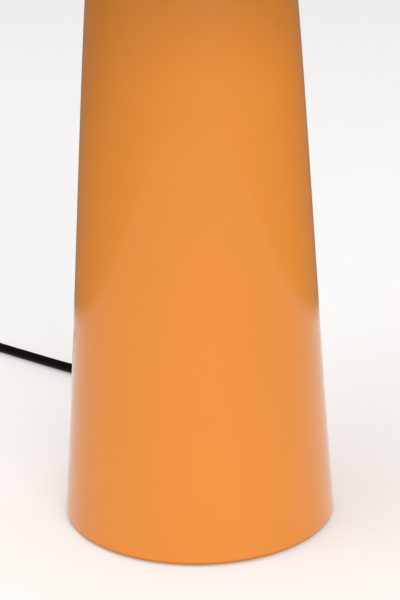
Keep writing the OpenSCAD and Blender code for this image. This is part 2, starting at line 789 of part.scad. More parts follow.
// Rocker: a bar with a dished top that tips about its cross pin
module switch_rocker() {
    top = switch_h + 1.6 - rocker_axis_z;
    dish_r = 60;
    color([0.12, 0.12, 0.12]) at_switch() translate([0, 0, rocker_axis_z])
        rotate([0, rocker_tip / 2, 0]) {
            difference() {
                rotate([90, 0, 0]) translate([0, 0, -rocker_w / 2]) linear_extrude(rocker_w)
                    polygon([
                        [-rocker_l / 2 + 1.6, -1.2], [-4, -2.2], [4, -2.2], [rocker_l / 2 - 1.6, -1.2],
                        [rocker_l / 2 - 0.6, top - 1], [rocker_l / 2 - 1.4, top], [0, top - 1.2],
                        [-rocker_l / 2 + 1.4, top], [-rocker_l / 2 + 0.6, top - 1]
                    ]);
                translate([0, 0, dish_r + top - 1.6]) rotate([0, 90, 0])
                    cylinder(h = rocker_l + 2, r = dish_r, center = true, $fn = round_fn);
            }
            rotate([90, 0, 0]) cylinder(h = rocker_w + 3, r = rocker_pin_r, center = true, $fn = 48);
        }
}
module switch_terminals() {
    color(brass) at_switch() for (end = [-1, 1], side = [-1, 1])
        translate([end * 13.5, side * 4.5, switch_wall + switch_terminal.z / 2])
        cube(switch_terminal, center = true);
}
module switch_screws() {
    head_h = 1.6;
    color(steel) at_switch() switch_screw_places() translate([0, 0, switch_screw_head_z]) {
        cylinder(h = head_h, r = switch_screw_head_r, $fn = 48);
        cylinder(h = 10, r = switch_screw_r, $fn = 48);
    }
}

// Plug: a flat two-pin body that narrows to a grooved nose
plug_outline = [
    [0, -plug_nose_w / 2], [7, -plug_nose_w / 2 - 0.6], [15, -plug_w / 2 + 3], [20, -plug_w / 2],
    [plug_l - 1, -plug_w / 2], [plug_l, -plug_w / 2 + 1], [plug_l, plug_w / 2 - 1],
    [plug_l - 1, plug_w / 2], [20, plug_w / 2], [15, plug_w / 2 - 3], [7, plug_nose_w / 2 + 0.6],
    [0, plug_nose_w / 2]
];
module plug_body() {
    edge = 2.2;
    color(black) at_coil_end() translate([end_l, 0, 0]) {
        translate([0, 0, plug_axis_z]) rotate([0, 90, 0]) turned(concat(
            [[0, 0], [cord_r + 0.9, 0]],
            [for (i = [0 : 2]) let (z = 2 + 3.6 * i, r = cord_r + 1.1 + 0.4 * i)
                each [[r, z], [r - 0.5, z + 0.5], [r - 0.5, z + 1.4], [r + 0.1, z + 1.9]]],
            [[cord_r + 2.4, plug_nose_l], [cord_r + 2.4, plug_nose_l + 1], [0, plug_nose_l + 1]]
        ));
        translate([plug_nose_l, 0, 0]) intersection() {
            linear_extrude(plug_h) polygon(plug_outline);
            rotate([90, 0, 90]) linear_extrude(plug_l)
                side_outline(plug_w / 2, plug_h, edge, edge);
            rotate([90, 0, 0]) translate([0, 0, -plug_w]) linear_extrude(2 * plug_w)
                polygon([[0, 1.2], [6, 0.2], [14, 0], [plug_l, 0], [plug_l, plug_h],
                         [14, plug_h], [6, plug_h - 0.2], [0, plug_h - 1.2]]);
        }
    }
}
module plug_pins() {
    face = end_l + plug_nose_l + plug_l;
    tip_l = 0.8;
    color(steel) at_coil_end() for (side = [-1, 1])
        translate([face, side * pin_apart / 2, plug_axis_z]) rotate([0, 90, 0]) {
            cylinder(h = pin_collar_l, r = pin_collar_r, $fn = 48);
            translate([0, 0, pin_collar_l])
                cylinder(h = pin_l - pin_collar_l - tip_l, r = pin_r, $fn = 48);
            translate([0, 0, pin_l - tip_l])
                turned([[0, 0], [pin_r, 0], [pin_r - tip_l, tip_l], [0, tip_l]]);
        }
}

lead_l = route_length(on_table(lead_route));
tail_l = route_length(on_table(tail_route));
coil_l = route_length(coil_route);
far_l = route_length(end_points);
echo("least gap between the coil's turns", coil_gap);
echo("lengths of lead, switch, tail, coil, end", lead_l, 2 * switch_end_x, tail_l, coil_l, far_l);
echo("room over the lifted shade's rim above the bulb", dome_z + shade_lift - bulb_top);
echo("whole lead from body to plug", lead_l + 2 * switch_end_x + tail_l + coil_l + far_l + plug_nose_l);

felt_pad();
bottom_plate();
plate_screws();
base_weight();
stem_washer();
stem_nut_lower();
stem_tube();
body_shell();
neck_cup();
stem_nut_upper();
gallery();
gallery_sleeves();
shade_ring();
holder_cap();
holder_skirt();
holder_insert();
holder_thread_shell();
holder_contact();
holder_terminals();
terminal_screws();
bulb_glass();
bulb_cap();
bulb_insulator();
bulb_tip();
shade();
cord_grommet();
inner_sheath();
inner_cores();
cord_clamp();
clamp_screws();
cord_lead();
switch_base();
switch_cover();
switch_rocker();
switch_terminals();
switch_screws();
cord_tail();
cord_coil();
cord_end();
plug_body();
plug_pins();
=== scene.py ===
import math

import bmesh
import bpy
import numpy as np
from mathutils import Matrix, Vector


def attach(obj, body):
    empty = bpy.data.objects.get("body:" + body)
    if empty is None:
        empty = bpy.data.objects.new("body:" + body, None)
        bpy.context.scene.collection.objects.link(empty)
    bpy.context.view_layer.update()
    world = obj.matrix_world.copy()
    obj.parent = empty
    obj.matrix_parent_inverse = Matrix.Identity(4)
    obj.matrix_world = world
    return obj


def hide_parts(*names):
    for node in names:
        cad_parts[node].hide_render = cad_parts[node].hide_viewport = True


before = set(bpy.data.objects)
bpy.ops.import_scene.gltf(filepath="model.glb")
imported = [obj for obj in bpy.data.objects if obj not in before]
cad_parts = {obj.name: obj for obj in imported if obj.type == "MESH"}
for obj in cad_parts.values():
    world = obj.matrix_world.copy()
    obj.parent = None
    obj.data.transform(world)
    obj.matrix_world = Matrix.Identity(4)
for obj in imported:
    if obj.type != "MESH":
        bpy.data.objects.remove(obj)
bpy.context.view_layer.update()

# The view: a long lens looks down at the foot from in front, so the picture holds only the
# lower body and a short stretch of the lead. The shade, the switch and the plug lie outside it.
view_at = (0, -0.6802, 0.3277)
look_down, look_right, roll = (math.radians(angle) for angle in (17.61, 0.15, -0.93))
view_data = bpy.data.cameras.new("view")
view_data.lens = 85.4
view_data.clip_start, view_data.clip_end = 0.02, 30
view = bpy.data.objects.new("view", view_data)
bpy.context.scene.collection.objects.link(view)
view.matrix_world = (
    Matrix.Translation(view_at)
    @ Matrix.Rotation(-look_right, 4, "Z")
    @ Matrix.Rotation(math.pi / 2 - look_down, 4, "X")
    @ Matrix.Rotation(roll, 4, "Z")
)
bpy.context.scene.camera = view

# Mains lead, first stretch: round two-core flex in a smooth black PVC sheath. It leaves the back
# of the foot, sinks to the table, runs to the left and goes into the in-line switch.
lead_r = 0.0031


def smooth_route(points, step=0.0015):
    """A curve through points in millimetres, one cubic between each two. Its slope at a point is
    the mean of the straight slopes on both sides, each weighted by the other side's length."""
    p = np.asarray(points, float) / 1000
    length = np.linalg.norm(np.diff(p, axis=0), axis=1)
    start = np.concatenate([[0], np.cumsum(length)])
    straight = np.diff(p, axis=0) / length[:, None]
    near, far = length[:-1, None], length[1:, None]
    slope = np.vstack([
        straight[:1], (straight[:-1] * far + straight[1:] * near) / (near + far), straight[-1:],
    ])
    at = np.linspace(0, start[-1], int(start[-1] / step) + 1)
    k = np.clip(np.searchsorted(start, at, side="right") - 1, 0, len(length) - 1)
    t, l = ((at - start[k]) / length[k])[:, None], length[k][:, None]
    return (
        (2 * t**3 - 3 * t**2 + 1) * p[k] + (t**3 - 2 * t**2 + t) * l * slope[k]
        + (3 * t**2 - 2 * t**3) * p[k + 1] + (t**3 - t**2) * l * slope[k + 1]
    )


def laid(points):
    """A smooth route through points in millimetres, no lower than a lead on the table lies."""
    p = np.array(points, float)
    p[:, 2] = np.maximum(p[:, 2], lead_r * 1000)
    route = smooth_route(p)
    route[:, 2] = np.maximum(route[:, 2], lead_r)
    return route


def sheath(route, radius, columns=20):
    """Grid of a round tube: at each point of the route a circle, spread by the level direction
    beside the route and by the direction square to it and to the route. Its ends are closed."""
    along = np.gradient(route, axis=0)
    along /= np.linalg.norm(along, axis=1)[:, None]
    beside = np.cross(along, (0, 0, 1))
    beside /= np.linalg.norm(beside, axis=1)[:, None]
    above = np.cross(beside, along)
    a = np.arange(columns) * 2 * np.pi / columns
    rings = route[:, None] + radius * (
        np.cos(a)[:, None] * beside[:, None] + np.sin(a)[:, None] * above[:, None]
    )
    middle = np.repeat(route[:, None], columns, 1)
    return np.concatenate([middle[:1], rings, middle[-1:]])


def mesh_of(name, grids):
    """One mesh from closed grids of points. Point (i, j) joins (i + 1, j) and (i, j + 1), and the
    last column joins the first. Points on one spot are merged, and faces turn outwards: where the
    sum of a . (b x c) over the faces is negative, the grid's faces are reversed."""
    points, faces, first = [], [], 0
    for grid in grids:
        rows, columns = grid.shape[:2]
        flat = grid.reshape(-1, 3)
        i, j = np.arange(rows - 1)[:, None] * columns, np.arange(columns)[None, :]
        nxt = (j + 1) % columns
        quads = np.stack([i + j, i + nxt, i + columns + nxt, i + columns + j], -1).reshape(-1, 4)
        a, b, c, d = (flat[quads[:, k]] for k in range(4))
        if (a * (np.cross(b, c) + np.cross(c, d))).sum() < 0:
            quads = quads[:, ::-1]
        points.append(flat)
        faces.append(quads + first)
        first += len(flat)
    mesh = bpy.data.meshes.new(name)
    mesh.from_pydata(np.concatenate(points).tolist(), [], np.concatenate(faces).tolist())
    shape = bmesh.new()
    shape.from_mesh(mesh)
    bmesh.ops.remove_doubles(shape, verts=shape.verts, dist=1e-7)
    shape.to_mesh(mesh)
    shape.free()
    return mesh


def make(name, body, finish, grids, stands_for=(), edge=32):
    """A finished piece: its mesh smooth but for edges sharper than 'edge' degrees, its finish, the
    body that it rides on and the CAD nodes that it stands for."""
    mesh = mesh_of(name, grids)
    mesh.shade_smooth()
    mesh.set_sharp_from_angle(angle=math.radians(edge))
    mesh.materials.append(finish)
    piece = bpy.data.objects.new(name, mesh)
    bpy.context.scene.collection.objects.link(piece)
    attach(piece, body)
    if stands_for:
        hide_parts(*stands_for)
    return piece


def feed(tree, node, inputs):
    """Gives each named input of a node a socket's value or a plain one."""
    for word, value in inputs.items():
        if isinstance(value, bpy.types.NodeSocket):
            tree.links.new(value, node.inputs[word])
        else:
            node.inputs[word].default_value = value


def wired(tree, kind, output, inputs, **settings):
    """An output of a new shader node, with its inputs and settings."""
    node = tree.nodes.new("ShaderNode" + kind)
    for word, value in settings.items():
        setattr(node, word, value)
    feed(tree, node, inputs)
    return node.outputs[output]


def ranged(tree, value, source, target, kind="LINEAR"):
    """Output that follows a value from one range to another, and stays at its ends beyond them."""
    return wired(tree, "MapRange", "Result", {
        "Value": value, "From Min": source[0], "From Max": source[1], "To Min": target[0],
        "To Max": target[1]}, interpolation_type=kind)


def blended(tree, share, one, other):
    """Output of a mix of two colours, with a share of the other."""
    return wired(tree, "Mix", 2, {0: share, 6: one, 7: other}, data_type="RGBA")


def place(tree, kind="Object"):
    """Outputs of the shaded point: the point itself, and its X, Y and Z."""
    point = wired(tree, "TexCoord", kind, {})
    return point, *(wired(tree, "SeparateXYZ", axis, {0: point}) for axis in "XYZ")


def finish(name, colour, rough, spread=0.03, patch=60, rough_spread=0.04, grain=0.0,
           grain_scale=2500, grain_detail=2, **sockets):
    """A procedural finish on Object coordinates. A soft noise of 'patch' per metre makes the
    colour lighter and darker by the share 'spread' and moves the roughness by 'rough_spread'. A
    finer noise raises the surface by 'grain' metres. Other words set the shader's own sockets."""
    material = bpy.data.materials.new(name)
    material.use_nodes = True
    tree, span = material.node_tree, (0.3, 0.7)
    point = place(tree)[0]
    cloud = wired(tree, "TexNoise", "Fac", {"Vector": point, "Scale": patch, "Detail": 3})
    dark, light = ((*(min(channel * share, 1) for channel in colour), 1)
                   for share in (1 - spread, 1 + spread))
    inputs = {
        "Base Color": blended(tree, ranged(tree, cloud, span, (0, 1)), dark, light),
        "Roughness": ranged(tree, cloud, span,
                            (max(rough - rough_spread, 0.02), rough + rough_spread)),
    }
    if grain:
        fine = wired(tree, "TexNoise", "Fac",
                    {"Vector": point, "Scale": grain_scale, "Detail": grain_detail})
        inputs["Normal"] = wired(tree, "Bump", "Normal", {"Height": fine, "Distance": grain})
    for word, value in sockets.items():
        inputs[word.replace("_", " ").title().replace("Ior", "IOR")] = value
    feed(tree, tree.nodes["Principled BSDF"], inputs)
    return material


black_pvc = finish("black_pvc", (0.0045, 0.0035, 0.003), 0.4, spread=0.25, patch=90,
                   rough_spread=0.06, grain=0.00003, grain_scale=700, specular_ior_level=0.06)
lead_route = laid([
    (0, 92.7, 12), (0, 98, 12), (0, 106, 12), (-2, 117, 11.8), (-6, 127, 11.2),
    (-11.5, 136, 10.4), (-19, 144, 9.4), (-31, 154, 7.9), (-44, 165, 6.2), (-57, 176, 4.9),
    (-70, 187, 3.9), (-84, 199, 3.3), (-97, 210, 0), (-110, 221, 0), (-123, 232, 0),
    (-134, 241.4, 0), (-144, 249, 4), (-154, 254, 6), (-164, 256, 7.6), (-170, 256, 8),
])
lead = make("lead_to_switch", "lamp", black_pvc, [sheath(lead_route, lead_r)],
            ["cord_lead"])

# Mains lead, second stretch: from the switch it turns into a coil of six turns in two layers,
# wound as for storage, and leaves the upper layer straight for the plug.
coil_middle, coil_outer, coil_pitch, coil_turns = (-227, 190), 45.6, 6.8, 6.125
climb = 0.25


def coil(turn):
    """Points of the coil in millimetres. Its radius shrinks by one pitch a turn on the table and
    grows again above. The climb to the upper layer is a smooth step in the half turn between."""
    h = turn - coil_turns / 2
    out = np.where(abs(h) > climb, abs(h), h * h / (2 * climb) + climb / 2)
    r = coil_outer - coil_pitch * coil_turns / 2 + coil_pitch * out
    a = np.pi + 2 * np.pi * turn
    s = np.clip((h + climb) / (2 * climb), 0, 1)
    return np.column_stack([
        coil_middle[0] + r * np.cos(a), coil_middle[1] + r * np.sin(a),
        lead_r * 1000 + coil_pitch * s * s * (3 - 2 * s),
    ])


spare_turn = np.linspace(0, coil_turns, int(coil_turns * 60))
spare = coil(spare_turn) / 1000
end_angle = math.pi + 2 * math.pi * coil_turns
leave = np.array([-math.sin(end_angle), math.cos(end_angle), 0])
# From the coil's top the lead sinks to the plug's height, by these shares at these lengths.
plug_height, coil_top = 6.9, spare[-1, 2] * 1000
end_along = np.array([6.2, 13.2, 19.2, 25.2, 31.2, 37.2, 42.2])
end_share = np.array([1, 1, 0.88, 0.6, 0.3, 0.08, 0])
end_points = spare[-1] * 1000 + end_along[:, None] * leave
end_points[:, 2] = plug_height + end_share * (coil_top - plug_height)
tail_route = laid([
    (-246, 256, 8), (-252, 256, 7.6), (-258, 254, 6), (-265, 249, 4), (-270, 241, 0),
    (-272.2, 231, 0), (-272.4, 221, 0), (-272.4, 210, 0), (-272.4, 196.2, 0),
])
spare_route = np.concatenate([tail_route, spare, smooth_route(end_points)])
spare_lead = make("lead_to_plug", "lamp", black_pvc,
                  [sheath(spare_route, lead_r, 16)], ["cord_tail", "cord_coil", "cord_end"])

# Strain relief: soft black PVC moulded round the lead. Its collar snaps into the hole low in the
# back wall, its flange lies on the wall, and its grooved taper bends with the lead.
wall_middle, exit_height, relief_end = 68.1, 12, 92.7
flange_from, flange_hole_r, flange_lift = 66.5, 5.4, 0.04


def rounded(outline, radius, closed=True, steps=4):
    """The outline with each corner sharper than 20 degrees replaced by a short curve. It leaves
    the sides 'radius' times the tangent of half the turn away, but within 0.45 of a side."""
    p = np.asarray(outline, float)
    before, after = np.roll(p, 1, 0) - p, np.roll(p, -1, 0) - p
    l1, l2 = np.linalg.norm(before, axis=1), np.linalg.norm(after, axis=1)
    before, after = before / l1[:, None], after / l2[:, None]
    turn = np.pi - np.arccos(np.clip((before * after).sum(1), -1, 1))
    cut = np.minimum(radius * np.tan(np.minimum(turn, 3) / 2), 0.45 * np.minimum(l1, l2))[:, None]
    sharp = turn > 0.35
    if not closed:
        sharp[[0, -1]] = False
    t = np.linspace(0, 1, steps + 1)[:, None]
    a, b, p = (p + before * cut)[:, None], (p + after * cut)[:, None], p[:, None]
    curves = np.where(sharp[:, None, None], (1 - t)**2 * a + 2 * t * (1 - t) * p + t**2 * b, p)
    keep = sharp[:, None] | (np.arange(steps + 1) == 0)
    return curves[keep]


def turned(outline, columns=192, swell=0):
    """Grid of a turned form: radius r, height z and turn a give (r cos a, r sin a, z). Sizes come
    in millimetres. Swell is added to the radius at each point. An outline off the axis closes."""
    p = np.asarray(outline, float)
    if max(p[0, 0], p[-1, 0]) > 1e-6:
        p = np.vstack([p, p[:1]])
        swell = np.vstack([swell, swell[:1]]) if np.ndim(swell) else swell
    a = np.arange(columns) * 2 * np.pi / columns
    r = p[:, :1] + swell
    return np.stack([r * np.cos(a), r * np.sin(a), np.repeat(p[:, 1:], columns, 1)], -1) / 1000


def lying(grid, heading, at):
    """A turned grid laid on its side: its height runs along the level heading, in degrees from +X,
    its start at a point in millimetres, and its own +Y stays up."""
    h = math.radians(heading)
    x, y, z = np.moveaxis(grid, -1, 0)
    return np.stack([
        x * math.sin(h) + z * math.cos(h), -x * math.cos(h) + z * math.sin(h), y,
    ], -1) + np.array(at) / 1000


def bezier(p, t, depth=0):
    """Cubic with two ends and two handles at the shares t, moved inwards by a depth: square to its
    slope, to the left of its way up."""
    p, t = np.asarray(p, float), np.asarray(t, float)[:, None]
    slope = (1 - t)**2 * (p[1] - p[0]) + 2 * t * (1 - t) * (p[2] - p[1]) + t**2 * (p[3] - p[2])
    slope /= np.linalg.norm(slope, axis=1)[:, None]
    return (
        (1 - t)**3 * p[0] + 3 * (1 - t)**2 * t * p[1] + 3 * (1 - t) * t**2 * p[2] + t**3 * p[3]
        + depth * np.column_stack([-slope[:, 1], slope[:, 0]])
    )


flank = [(70.3, 2), (62.7, 72.7), (54.2, 226), (47.6, 286)]
shoulder = [(47.6, 286), (45.5, 305), (40, 326), (28, 326)]
groove = np.array([(0, 0), (-0.5, 0.5), (-0.5, 1.3), (0, 1.8)])
first_groove = 5.2 + 3.4 * np.arange(5)
grooves = (first_groove[:, None] + groove[:, 1]).ravel()
taper = 6 - 1.7 * (grooves - 4) / (relief_end - wall_middle - 4) + np.tile(groove[:, 0], 5)
relief_outline = rounded(np.vstack([
    [(3.15, -5.6), (7, -5.6), (7, -2.6), (5.3, -2.6), (5.3, -0.9), (7.5, -0.9), (7.5, 2.2),
     (6.6, 3.2), (6, 4)],
    np.column_stack([taper, grooves]), [(4.3, 24), (3.7, 24.6), (3.15, 24.6)],
]), 0.35)
relief = lying(turned(relief_outline, 72), 90, (0, wall_middle, exit_height))
x, y, z = np.moveaxis(relief, -1, 0)
wall = bezier(flank, np.linspace(0, 1, 400)) / 1000
wall_y = np.sqrt(np.interp(z, wall[:, 1], wall[:, 0])**2 - x**2)
from_hole = np.hypot(x, z - exit_height / 1000)
flange = (y > flange_from / 1000) & (from_hole > flange_hole_r / 1000)
relief[..., 1] = np.where(flange, np.maximum(y, wall_y + flange_lift / 1000), y)
make("strain_relief", "lamp", black_pvc, [relief], ["cord_grommet"])

# Body: one spun sheet of steel under glossy orange lacquer. Its foot is hemmed over the bottom
# plate, its flank sweeps in as one long curve, and its neck is turned in flat under the gallery. A
# thin darker line of painted shade runs along the foot's edge, where the hem turns under.
sheet, hem_r = 1.2, 1.2
up, over = np.linspace(0, 1, 110), np.linspace(0, 1, 40)
hem = np.linspace(-np.pi / 2, 0, 10)
body_outline = np.vstack([
    rounded([(67.7, 2.6), (67.7, 0.8), (69.1, 0.8)], 0.25, closed=False)[:-1],
    np.column_stack([69.1 + hem_r * np.cos(hem), 2 + hem_r * np.sin(hem)]),
    bezier(flank, up[1:]), bezier(shoulder, over[1:]),
    rounded([(28, 326), (22.3, 326), (22.3, 324.8), (26, 324.8)], 0.35, closed=False)[1:-1],
    bezier(shoulder, over[::-2], sheet), bezier(flank, up[:3:-3], sheet),
    [(68.7, 3.8), (63.3, 3.8), (63.3, 2.6)],
])


def lacquer(name, colour):
    """Gloss lacquer: the colour coat, a hardly visible cloudiness, and a clear coat on top whose
    surface has the faint orange peel of sprayed lacquer, 1 to 2 millimetres wide."""
    material = finish(name, colour, 0.42, spread=0.012, patch=16, rough_spread=0.03,
                      coat_weight=1.0, coat_roughness=0.04, coat_ior=1.4,
                      specular_ior_level=0.1)
    tree = material.node_tree
    skin = wired(tree, "TexNoise", "Fac", {"Vector": place(tree)[0], "Scale": 420, "Detail": 1})
    peel = wired(tree, "Bump", "Normal", {"Height": skin, "Distance": 0.000004})
    feed(tree, tree.nodes["Principled BSDF"], {"Coat Normal": peel})
    return material


orange_lacquer = lacquer("orange_lacquer", (0.825, 0.272, 0.028))
# Painted shade: the lacquer's colour is scaled down to 0.4 below 0.9 mm and back to full by 2.9
# mm, along the hem's underside.
painted_shade_heights, painted_shade_shares = (0.0009, 0.0029), (0.4, 1)
tree = orange_lacquer.node_tree
shader = tree.nodes["Principled BSDF"]
even = shader.inputs["Base Color"].links[0].from_socket
share = ranged(tree, place(tree)[3], painted_shade_heights, painted_shade_shares)
feed(tree, shader, {"Base Color": wired(
    tree, "VectorMath", "Vector", {0: even, "Scale": share}, operation="SCALE")})
body = make("body", "lamp", orange_lacquer, [turned(body_outline, 256)],
            ["body_shell"])


def carve(piece, grid, edge=32):
    """Takes the closed form of a grid out of a piece, and leaves the result as its mesh."""
    tool = bpy.data.objects.new("tool", mesh_of("tool", [grid]))
    bpy.context.scene.collection.objects.link(tool)
    cut = piece.modifiers.new("cut", "BOOLEAN")
    cut.object, cut.operation, cut.solver = tool, "DIFFERENCE", "EXACT"
    bpy.context.view_layer.update()
    result = bpy.data.meshes.new_from_object(
        piece.evaluated_get(bpy.context.evaluated_depsgraph_get()))
    piece.modifiers.clear()
    name, piece.data.name = piece.data.name, "before"
    piece.data, result.name = result, name
    result.set_sharp_from_angle(angle=math.radians(edge))
    bpy.data.objects.remove(tool)


carve(body, lying(turned([(0, -12), (5.5, -12), (5.5, 8), (0, 8)], 48), 90,
                  (0, wall_middle, exit_height)))

# Foot: a zinc-plated steel plate closes it from below. Three countersunk cross-head screws draw it
# up to the cast weight, and a ring of black felt is glued under it.
zinc_steel = finish("zinc_steel", (0.62, 0.63, 0.64), 0.34, spread=0.06, patch=140,
                    rough_spread=0.08, grain=0.00001, grain_scale=1800, metallic=1.0)
felt = finish("felt", (0.03, 0.03, 0.032), 0.95, spread=0.3, patch=900, grain=0.00025,
              grain_scale=2600, grain_detail=5)
cast_iron = finish("cast_iron", (0.055, 0.055, 0.058), 0.7, spread=0.2, patch=220, grain=0.0002,
                   grain_scale=900, grain_detail=4)


def dress(coat, *names):
    """Gives a finish to pieces whose own CAD form is shown."""
    for name in names:
        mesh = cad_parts[name].data
        mesh.materials.clear()
        mesh.materials.append(coat)


def moved(grid, x, y, z=0):
    """A grid moved by millimetres."""
    return grid + np.array((x, y, z)) / 1000


def stacked(outline, levels):
    """Grid of an outline in millimetres at several levels. A level is its height and the share of
    the outline's size that it keeps about its middle. A share of 0 closes the form."""
    p, levels = np.asarray(outline, float), np.asarray(levels, float)
    middle = (p.min(0) + p.max(0)) / 2
    flat = middle + levels[:, 1, None, None] * (p - middle)
    height = np.broadcast_to(levels[:, :1, None], (*flat.shape[:2], 1))
    return np.concatenate([flat, height], -1) / 1000


def cross(reach, half):
    """Outline of a cross with four arms that reach out from the middle, each two halves wide."""
    arm = np.array([(reach, -half), (reach, half), (half, half)])
    return np.concatenate([arm @ ((c, s), (-s, c)) for c, s in ((1, 0), (0, 1), (-1, 0), (0, -1))])


dress(zinc_steel, "bottom_plate", "stem_washer", "stem_nut_lower", "stem_nut_upper", "stem_tube",
      "neck_cup", "cord_clamp", "clamp_screws", "terminal_screws")
dress(felt, "felt_pad")
dress(cast_iron, "base_weight")
screw_circle_r, screw_turn = 48, np.radians((30, 150, 270))
screw_places = screw_circle_r * np.column_stack([np.cos(screw_turn), np.sin(screw_turn)])
foot_screw = turned([(0, 0.85), (3.65, 0.85), (3.8, 1.0), (2, 2.7), (2, 12.8), (0, 12.8)], 40)
foot_screws = make("foot_screws", "lamp", zinc_steel,
                   [moved(foot_screw, x, y) for x, y in screw_places], ["plate_screws"])
foot_recess = stacked(cross(2.1, 0.45), [(-1, 0), (-1, 1), (2, 0.6), (2, 0)])
for x, y in screw_places:
    carve(foot_screws, moved(foot_recess, x, y))

# Gallery: a hub, three bent flat arms and a wire ring of steel, welded together and sprayed white.
# Its hub lies on the neck, and its wire carries the three sleeves under the shade.
white_metal = finish("white_metal", (0.80, 0.79, 0.77), 0.3, spread=0.02, patch=30,
                     grain=0.000008, grain_scale=500)
ring_r, ring_z, wire_r, arm_turns = 111.95, 388, 2, (90, 210, 330)


def bar(line, outline):
    """Grid of a bar in the plane y = 0: at each point (x, z) of its line the outline, whose
    first axis lies across and whose second is square to the line. Its ends are closed."""
    along = np.gradient(line, axis=0)
    along /= np.linalg.norm(along, axis=1)[:, None]
    square = np.column_stack([-along[:, 1], along[:, 0]])
    upright = line[:, None] + outline[:, 1, None] * square[:, None]
    across = np.broadcast_to(outline[:, 0], upright.shape[:2])
    rings = np.stack([upright[..., 0], across, upright[..., 1]], -1) / 1000
    middle = np.repeat(rings.mean(1, keepdims=True), rings.shape[1], 1)
    return np.concatenate([middle[:1], rings, middle[-1:]])


def spun(grid, turn):
    """A grid turned about the lamp's axis by an angle in degrees."""
    c, s = math.cos(math.radians(turn)), math.sin(math.radians(turn))
    x, y, z = np.moveaxis(grid, -1, 0)
    return np.stack([x * c - y * s, x * s + y * c, z], -1)


hub = turned(rounded([(20.2, 327.2), (29, 327.2), (29, 329.7), (20.2, 329.7)], 0.4), 160)
wire_turn = np.arange(24) * np.pi / 12
wire = turned(np.column_stack([
    ring_r + wire_r * np.cos(wire_turn), ring_z + wire_r * np.sin(wire_turn)]), 240)
arm_line = rounded([(25, 328.45), (41.55, 328.45), (110, 385.25), (113.95, 385.25)], 5,
                   closed=False, steps=8)
arm = bar(arm_line, rounded([(-4, -1.2), (4, -1.2), (4, 1.2), (-4, 1.2)], 0.6))
half_turn = np.linspace(-np.pi / 2, np.pi / 2, 9)
bead_form = turned(np.column_stack([np.cos(half_turn), np.sin(half_turn)]), 16)
bead_form = bead_form * (1.2, 3.1, 0.9)
welds = [moved(bead_form, ring_r + side, 0, 386.6) for side in (-1.9, 1.7)]
make("gallery_frame", "lamp", white_metal,
     [hub, wire] + [spun(form, turn) for turn in arm_turns for form in (arm, *welds)], ["gallery"])

# Sleeves: three lengths of soft clear tube, pushed on the wire ring before it was closed. The
# shade rests on them.
clear_rubber = finish("clear_rubber", (0.88, 0.88, 0.85), 0.32, spread=0.02, patch=80,
                      transmission_weight=0.5, ior=1.43)


def round_ring(grid, turn):
    """A turned grid laid round the wire ring, its height as the length along the wire, from an
    angle in degrees."""
    x, y, z = np.moveaxis(grid, -1, 0)
    a, r = math.radians(turn) + z * 1000 / ring_r, ring_r / 1000 + x
    return np.stack([r * np.cos(a), r * np.sin(a), ring_z / 1000 + y], -1)


tube_r, bore_r, tube_steps = 6.1, 2.05, np.linspace(-11, 11, 15)[1:-1]
tube_outline = np.vstack([
    rounded([(tube_r, 10.5), (tube_r, 11.7), (bore_r, 11.7), (bore_r, 10.5)], 0.7, closed=False),
    np.column_stack([np.full_like(tube_steps, bore_r), tube_steps[::-1]]),
    rounded([(bore_r, -10.5), (bore_r, -11.7), (tube_r, -11.7), (tube_r, -10.5)], 0.7,
            closed=False),
    np.column_stack([np.full_like(tube_steps, tube_r), tube_steps]),
])
make("ring_sleeves", "lamp", clear_rubber,
     [round_ring(turned(tube_outline, 48), turn) for turn in (30, 150, 270)], ["gallery_sleeves"])

# Shade ring: a white plastic nut with twelve finger grips. It screws down on the lampholder and
# holds the gallery's hub.
white_plastic = finish("white_plastic", (0.82, 0.81, 0.78), 0.33, spread=0.015, patch=50,
                       grain=0.000012, grain_scale=1400)
nut_columns, nut_r = 432, 27
grips, grip_circle_r, grip_r, grip_half = 12, 28, 2, 0.063
nut_turn = np.arange(nut_columns) * 2 * np.pi / nut_columns
off_grip = abs((nut_turn + np.pi / grips) % (2 * np.pi / grips) - np.pi / grips)
beside_grip = grip_circle_r * np.sin(off_grip)
scallop = grip_circle_r * np.cos(off_grip) - np.sqrt(np.maximum(grip_r**2 - beside_grip**2, 0))
scallop = np.where(off_grip < grip_half, scallop - nut_r, 0)
nut_outline = rounded([(20, 329.7), (nut_r, 329.7), (nut_r, 331.2), (nut_r - 0.01, 331.4),
                       (nut_r, 336.7), (20, 336.7)], 0.6)
gripped = (nut_outline[:, 1] > 331.3) & (nut_outline[:, 0] > 25)
make("ring_nut", "lamp", white_plastic,
     [turned(nut_outline, nut_columns, gripped[:, None] * scallop)], ["shade_ring"])

# Lampholder: a white plastic cap and skirt round a ceramic insert. The skirt has the thread for
# the shade ring outside, and in it stands the brass screw shell that takes the bulb.
ceramic = finish("ceramic", (0.80, 0.79, 0.75), 0.22, spread=0.02, patch=60)
brass = finish("brass", (0.72, 0.52, 0.24), 0.28, spread=0.08, patch=160, rough_spread=0.08,
               metallic=1.0)
bulb_pitch, bulb_depth = 3.63, 0.8


def thread(z, pitch, depth, columns=192, fade=0.8):
    """Swell of a right-handed thread at heights z: half of 1 minus the cosine of one wave to each
    pitch and one less to each turn, times the depth. It fades out at both ends."""
    turns = np.arange(columns) / columns
    wave = (1 - np.cos(2 * np.pi * (z[:, None] / pitch - turns))) / 2
    ends = np.clip((z - z[0]) / fade, 0, 1) * np.clip((z[-1] - z) / fade, 0, 1)
    return depth * ends[:, None] * wave


def still(rows, columns=192):
    """Swell of rows that stay round."""
    return np.zeros((rows, columns))


